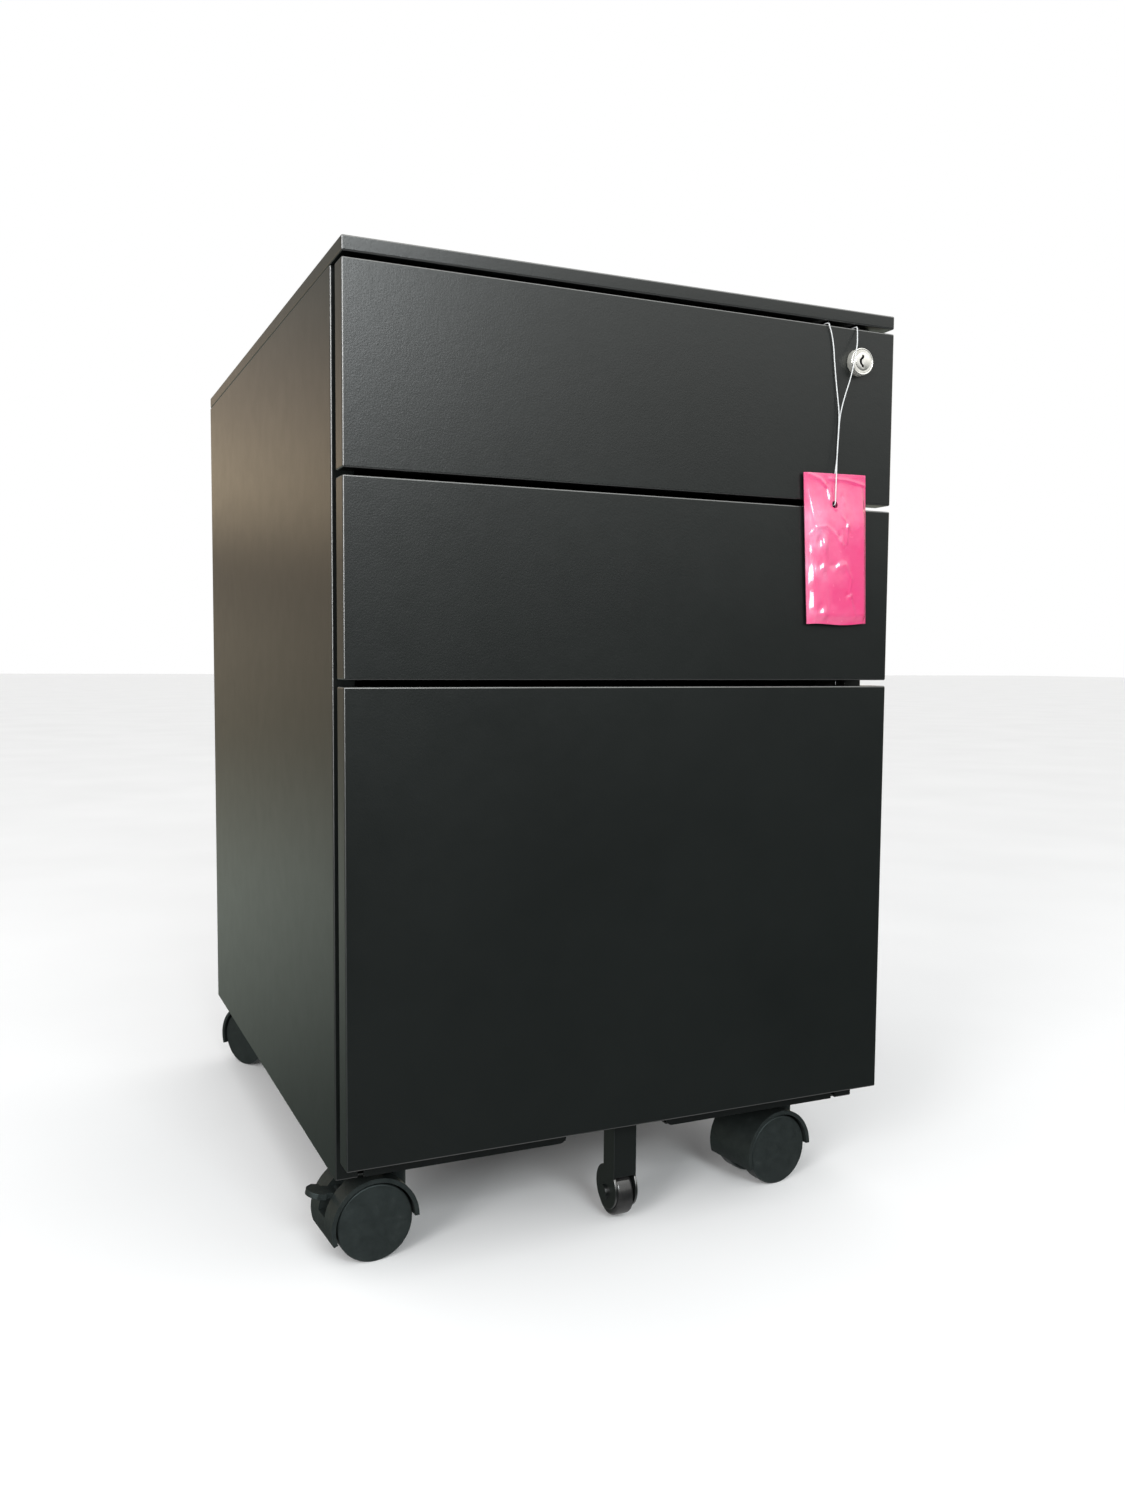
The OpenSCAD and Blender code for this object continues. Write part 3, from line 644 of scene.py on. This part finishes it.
def crease_height(u, v, span):
    """The height that creases and flats add at a place on the pouch; span is its width and length."""
    total = 0.0
    here = Vector((u * span[0], v * span[1]))
    for flat_u, flat_v, half_w, half_h in FLATS:
        across, down = here.x - flat_u * span[0], here.y - flat_v * span[1]
        window = math.exp(-((across / half_w) ** 2) - (down / half_h) ** 2)
        total += (FLAT_TILT[0] * across + FLAT_TILT[1] * down) * window
    for height, half, points in CREASES:
        best = 1e9
        for a, b in zip(points, points[1:]):
            start = Vector((a[0] * span[0], a[1] * span[1]))
            along = Vector((b[0] * span[0], b[1] * span[1])) - start
            t = max(0.0, min(1.0, (here - start).dot(along) / along.length_squared))
            best = min(best, (here - start - t * along).length)
        total += height * math.exp(-((best / half) ** 2))
    return total


def pouch_point(u, v, face):
    """A place on the pouch, u across and v down; face is 1 on the front film, 0 on the back."""
    top = POUCH_CORNERS[0].lerp(POUCH_CORNERS[1], u)
    bottom = POUCH_CORNERS[3].lerp(POUCH_CORNERS[2], u)
    place = top.lerp(bottom, v)
    span = (50.0, 101.0)
    left_slope = 6.0 + 2.2 * noise.noise(Vector((0.5, 7.5 * v, 9.0)))
    edge = smoothstep(u * span[0] / left_slope) * smoothstep((1 - u) * span[0] / 4.6)
    ends = smoothstep((1 - v) * span[1] / 7.0)
    uneven = 0.05 * noise.noise(Vector((5.0 * u, 0.3, 4.0)))
    keys_below = smoothstep((v - 0.04 + uneven) / 0.34)
    ripple = noise.noise(Vector((place.x * 0.09, place.y * 0.05, 3.0 * face)))
    wave = 0.55 * math.sin(2.2 * math.pi * (u + 0.08)) * smoothstep((v - 0.85) / 0.15)
    if face:
        puff = 0.55 + 3.5 * keys_below * (0.25 + 0.75 * ends)
        creases = crease_height(u, v, span) * (0.35 + 0.65 * edge)
        stand = 0.35 + edge * (puff + 0.3 * ripple * keys_below) + creases
    else:
        stand = 0.12 * edge * (1 + ripple)
    return Vector((place.x, POUCH_BACK - FILM - stand, place.y + wave)) * MM


def squeeze(piece):
    """Gives a piece its own copy of its mesh; the piece keeps its width as the middle drawer opens."""
    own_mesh(piece)


def make_pouch():
    """One strip of film folded at the top, with the keys between its two layers."""
    across, down = 64, 116
    bm = bmesh.new()
    rows = [(j / down, 1) for j in range(down, -1, -1)] + [(j / down, 0) for j in range(down + 1)]
    grid = [[bm.verts.new(pouch_point(i / across, v, face)) for i in range(across + 1)] for v, face in rows]
    for near, far in zip(grid, grid[1:]):
        for i in range(across):
            bm.faces.new([near[i], near[i + 1], far[i + 1], far[i]])
    bmesh.ops.recalc_face_normals(bm, faces=bm.faces)
    pouch = new_object("key_pouch_film", bm)
    thick = pouch.modifiers.new("film", "SOLIDIFY")
    thick.thickness = FILM * MM
    thick.offset = 0
    bake(pouch)
    cutter = lathe("cutter", [(0, -8), (POUCH_HOLE_R, -8), (POUCH_HOLE_R, 8), (0, 8)], 32)
    cutter.data.transform(Matrix.Translation(Vector((POUCH_HOLE[0], POUCH_BACK, POUCH_HOLE[1])) * MM))
    cut(pouch, cutter)
    shade_smooth(pouch, 50)
    dress(pouch, "key_pouch", "pouch_vinyl", "key_pouch")
    squeeze(pouch)


def key_outline(x, bow_z, tip_z):
    """A round bow and a blade with cuts along one side, as (x, z) points."""
    bow = arc((x, bow_z), 9, -66, 246, 40)
    cuts = [(1.2, 0.0), (3.4, 2.2), (5.2, 2.2), (7.6, 0.4), (9.8, 1.6), (12.0, 1.6), (14.5, 0.2),
            (17.0, 1.9), (19.5, 1.9), (22.5, 0.3), (25.0, 1.3)]
    left = [(x - 3.6, bow_z - 9.5), (x - 3.6, tip_z + 2.5), (x, tip_z)]
    right = [(x + 3.6 - deep, tip_z + 2.5 + up) for up, deep in cuts]
    return [*bow, *left, *right, (x + 3.6, bow_z - 9.5)]


def make_keys():
    """Two flat keys with round bows."""
    low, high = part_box("keys")
    near, far = low.y / MM, high.y / MM
    pieces = []
    for x in (139, 159):
        pieces.append(plate("key", key_outline(x, 458, 420), near, far, [(x, 462, 2.5)]))
    keys = pieces[0]
    cut(keys, pieces[1], "UNION")
    keys.name = "pouch_keys"
    round_edges(keys, 0.2 * MM, 2)
    bake(keys)
    dress(keys, "key_pouch", "key_steel", "keys")
    squeeze(keys)


# ---- Lock ----

def ridged(radius, start, end, pitch=1.0, deep=0.35):
    """Points of a threaded barrel's side, as rings of a fine pitch."""
    turns = int((end - start) / pitch)
    points = []
    for i in range(turns):
        points += [(radius, start + i * pitch), (radius - deep, start + (i + 0.5) * pitch)]
    return [*points, (radius, end)]


def make_lock():
    """The lock's bezel and threaded barrel, and its plug with a crooked keyway."""
    low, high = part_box("lock_housing")
    plug_low, plug_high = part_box("lock_cylinder")
    centre = (low + high) / 2
    place = Matrix.Translation((centre.x, 0, centre.z))
    front, rear = low.y / MM, high.y / MM
    bezel_r = (high.x - low.x) / 2 / MM
    plug_r = (plug_high.x - plug_low.x) / 2 / MM
    face = FACE_Y / MM
    housing = lathe("lock_bezel", [
        (plug_r + 0.05, rear), (plug_r + 0.05, front + 0.15), (plug_r + 0.15, front),
        (bezel_r - 1.5, front), (bezel_r - 1.3, front + 0.45), (bezel_r - 1.05, front + 0.45),
        (bezel_r - 0.9, front + 0.15), *arc((bezel_r - 0.5, front + 0.5), 0.5, 260, 360, 6),
        (bezel_r, face - 0.7), (bezel_r - 0.4, face - 0.01), (bezel_r - 0.7, face + 0.2),
        *ridged(bezel_r - 0.6, face + 1, rear - 0.5), (bezel_r - 1.2, rear),
    ], 128)
    housing.data.transform(place)
    dress(housing, "drawer_1", "lock_nickel", "lock_housing")
    housing.data.materials.append(SATIN)
    for side in housing.data.polygons:
        across = Vector((side.center.x - centre.x, side.center.z - centre.z)).length
        if across > (bezel_r - 0.1) * MM and side.center.y > low.y + 0.6 * MM:
            side.material_index = 1
    plug_front, plug_rear = plug_low.y / MM, plug_high.y / MM
    plug = lathe("lock_plug", [
        (0, plug_front), (plug_r - 0.2, plug_front), *arc((plug_r - 0.2, plug_front + 0.2), 0.2, 270, 360, 4),
        (plug_r, plug_rear), (0, plug_rear),
    ], 128)
    keyway = [(-0.8, 4.2), (0.8, 4.2), (0.9, 2.9), (0.4, 1.9), (-0.8, 1.0), (-0.9, -0.4), (-0.6, -1.5),
              (0.8, -2.5), (0.9, -4.1), (-0.7, -4.2), (-1.0, -3.2), (-2.3, -1.9), (-2.9, -0.4),
              (-2.8, 0.9), (-1.7, 2.2), (-0.9, 2.9)]
    slot = plate("cutter", keyway, plug_front - 1, plug_front + 12)
    cut(plug, slot)
    shade_smooth(plug)
    plug.data.transform(place)
    dress(plug, "lock_cylinder", "lock_nickel", "lock_cylinder")
    # Painted shade: faces inside the keyway get the near-black material in place of the shade that falls deep in
    # the slot.
    plug.data.materials.append(KEYWAY_PAINTED_SHADE)
    for side in plug.data.polygons:
        across = Vector((side.center.x - centre.x, side.center.z - centre.z)).length
        if across < 4.5 * MM and plug_low.y + 0.2 * MM < side.center.y < plug_high.y - MM:
            side.material_index = 1


# ---- Castors and the anti-tilt wheel ----

# Both wheels reach from here to here, across the castor from its middle, in millimetres
WHEEL_NEAR, WHEEL_OUTER = 8.0, 21.5


def wheel_profile(radius, near, outer):
    """Half a twin wheel: hollow on its inner side, with a rounded tread and a shallow domed disc."""
    hub, rim, web = 7, radius - 5, near + 4
    disc_r = radius - 1.5
    rise = 1.0
    dome = [(disc_r * (1 - i / 12), outer - rise * (1 - i / 12) ** 2) for i in range(13)]
    return [
        (3.05, near + 0.3), (3.35, near), (hub - 0.3, near), (hub, near + 0.3),
        *arc((hub + 0.8, web - 0.8), 0.8, 180, 90, 4), *arc((rim - 0.8, web - 0.8), 0.8, 90, 0, 4),
        (rim, near + 0.4), *arc((radius - 1.2, near + 1.2), 1.2, 250, 360, 6),
        *arc((radius - 1.4, outer - rise - 1.4), 1.4, 0, 90, 8),
        *dome, (0, outer - 2.4), (3.05, outer - 2.4),
    ]


def make_castor_wheels():
    """Both wheels of each castor."""
    for name in CASTORS:
        place = castor_place(name)
        axle_low, axle_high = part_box(f"{name}_castor_axle")
        axle = place.inverted() @ ((axle_low + axle_high) / 2)
        radius = axle.z / MM
        for letter, side in (("a", 1), ("b", -1)):
            node = f"{name}_castor_wheel_{letter}"
            wheel = lathe(f"{node}_disc", wheel_profile(radius, WHEEL_NEAR, WHEEL_OUTER), 144)
            turn = Matrix.Rotation(0 if side > 0 else math.pi, 4, "X")
            wheel.data.transform(place @ Matrix.Translation((axle.x, 0, axle.z)) @ turn)
            dress(wheel, node, "castor_plastic", node)


def make_anti_tilt_wheel():
    """A small glossy roller with rounded shoulders and a recess round its hub."""
    low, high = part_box("anti_tilt_wheel")
    centre = (low + high) / 2
    radius = (high.z - low.z) / 2 / MM
    half = (high.x - low.x) / 2 / MM
    shoulder = 2.4
    roller = lathe("anti_tilt_roller", [
        (3.05, -half), (5.2, -half), (5.6, -half + 0.8), (radius - 4.4, -half + 0.8), (radius - 4, -half),
        *arc((radius - shoulder, -half + shoulder), shoulder, 270, 360, 8),
        *arc((radius - shoulder, half - shoulder), shoulder, 0, 90, 8),
        (radius - 4, half), (radius - 4.4, half - 0.8), (5.6, half - 0.8), (5.2, half), (3.05, half),
    ], 128)
    roller.data.transform(Matrix.Translation(centre) @ Matrix.Rotation(math.pi / 2, 4, "Z"))
    dress(roller, "anti_tilt_wheel", "roller_plastic", "anti_tilt_wheel")


# ---- Stage and light ----

def make_stage():
    """A plain pale floor."""
    bm = bmesh.new()
    bmesh.ops.create_grid(bm, x_segments=8, y_segments=8, size=30)
    floor = new_object("floor", bm)
    s = Shader("floor_paper", Specular_IOR_Level=0.2)
    s.colour(s.ramp(s.noise(3, 2), [(0.3, (0.82, 0.82, 0.82, 1)), (0.7, (0.85, 0.85, 0.85, 1))]))
    s.roughness(s.range(s.noise(40, 2), 0.3, 0.7, 0.85, 0.95))
    floor.data.materials.append(s.material)
    floor.visible_glossy = False


def area_light(name, place, target, width, height, power, colour=(1, 1, 1)):
    data = bpy.data.lights.new(name, "AREA")
    data.shape = "RECTANGLE"
    data.size, data.size_y = width, height
    data.energy = power
    data.color = colour
    light = bpy.data.objects.new(name, data)
    light.location = place
    light.rotation_euler = (Vector(target) - Vector(place)).to_track_quat("-Z", "Y").to_euler()
    bpy.context.scene.collection.objects.link(light)


# What glossy surfaces see round the studio, from straight down to straight up: (place, colour)
FRONT_GLOW = [
    (0.0, (0.5, 0.5, 0.5, 1)), (0.2, (0.35, 0.35, 0.35, 1)), (0.28, (0.04, 0.05, 0.05, 1)),
    (0.46, (0.03, 0.04, 0.04, 1)), (0.51, (0.08, 0.09, 0.09, 1)),
    (0.56, (0.28, 0.29, 0.28, 1)), (0.64, (1.4, 1.4, 1.35, 1)), (0.8, (1.9, 1.9, 1.85, 1)),
    (0.9, (3.2, 3.2, 3.1, 1)), (1.0, (3.6, 3.6, 3.5, 1)),
]
BACK_GLOW = [
    (0.0, (0.5, 0.5, 0.5, 1)), (0.18, (0.3, 0.3, 0.3, 1)), (0.25, (0.06, 0.07, 0.06, 1)),
    (0.33, (0.14, 0.17, 0.15, 1)), (0.41, (0.62, 0.69, 0.6, 1)),
    (0.47, (0.42, 0.37, 0.27, 1)), (0.51, (0.6, 0.51, 0.38, 1)), (0.54, (0.3, 0.25, 0.2, 1)),
    (0.563, (1.6, 1.28, 0.88, 1)), (0.6, (0.9, 0.74, 0.58, 1)), (0.64, (0.5, 0.48, 0.42, 1)),
    (0.7, (0.4, 0.42, 0.4, 1)), (1.0, (0.8, 0.8, 0.78, 1)),
]


def make_world():
    """An even white studio; glossy surfaces see a darker floor and a soft glow above it."""
    world = bpy.data.worlds.new("studio")
    world.use_nodes = True
    nodes, links = world.node_tree.nodes, world.node_tree.links
    white = nodes["Background"]
    white.inputs["Color"].default_value = (1, 1, 1, 1)
    white.inputs["Strength"].default_value = 1.0
    direction = nodes.new("ShaderNodeTexCoord").outputs["Generated"]
    split = nodes.new("ShaderNodeSeparateXYZ")
    links.new(direction, split.inputs["Vector"])

    def share(value, low, high, least=0.0):
        node = nodes.new("ShaderNodeMapRange")
        node.inputs["From Min"].default_value = low
        node.inputs["From Max"].default_value = high
        node.inputs["To Min"].default_value = least
        links.new(value, node.inputs["Value"])
        return node.outputs["Result"]

    def glow(stops):
        node = nodes.new("ShaderNodeValToRGB")
        elements = node.color_ramp.elements
        while len(elements) < len(stops):
            elements.new(0.5)
        for element, (position, colour) in zip(elements, stops):
            element.position = position
            element.color = colour
        links.new(share(split.outputs["Z"], -1, 1), node.inputs["Fac"])
        return node.outputs["Color"]

    mix = nodes.new("ShaderNodeMix")
    mix.data_type = "RGBA"
    links.new(share(split.outputs["Y"], -0.3, 0.3), mix.inputs[0])
    links.new(glow(FRONT_GLOW), mix.inputs[6])
    links.new(glow(BACK_GLOW), mix.inputs[7])
    seen = nodes.new("ShaderNodeBackground")
    links.new(mix.outputs[2], seen.inputs["Color"])
    darker_left = nodes.new("ShaderNodeMath")
    darker_left.operation = "MAXIMUM"
    links.new(share(split.outputs["X"], -0.25, -0.17, 0.55), darker_left.inputs[0])
    links.new(share(split.outputs["Y"], 0.3, -0.3), darker_left.inputs[1])
    links.new(darker_left.outputs["Value"], seen.inputs["Strength"])
    chosen = nodes.new("ShaderNodeMixShader")
    links.new(nodes.new("ShaderNodeLightPath").outputs["Is Glossy Ray"], chosen.inputs[0])
    links.new(white.outputs["Background"], chosen.inputs[1])
    links.new(seen.outputs["Background"], chosen.inputs[2])
    links.new(chosen.outputs["Shader"], nodes["World Output"].inputs["Surface"])
    bpy.context.scene.world = world


def make_light():
    """The studio, with one large soft box before the cabinet, high and to the left."""
    make_world()
    bpy.context.scene.view_settings.view_transform = "Standard"
    area_light("key", (-0.1, -2.4, 1.45), (-0.1, -0.2, 0.6), 0.9, 0.75, 29, (0.93, 0.98, 1.0))
    area_light("strip", (-2.0, -1.7, 1.0), (-0.1, -0.2, 0.4), 0.8, 1.5, 45)


dress_cad_nodes()
make_string()
make_pouch()
make_keys()
make_panels()
make_lock()
make_castor_wheels()
make_anti_tilt_wheel()
make_stage()
make_light()
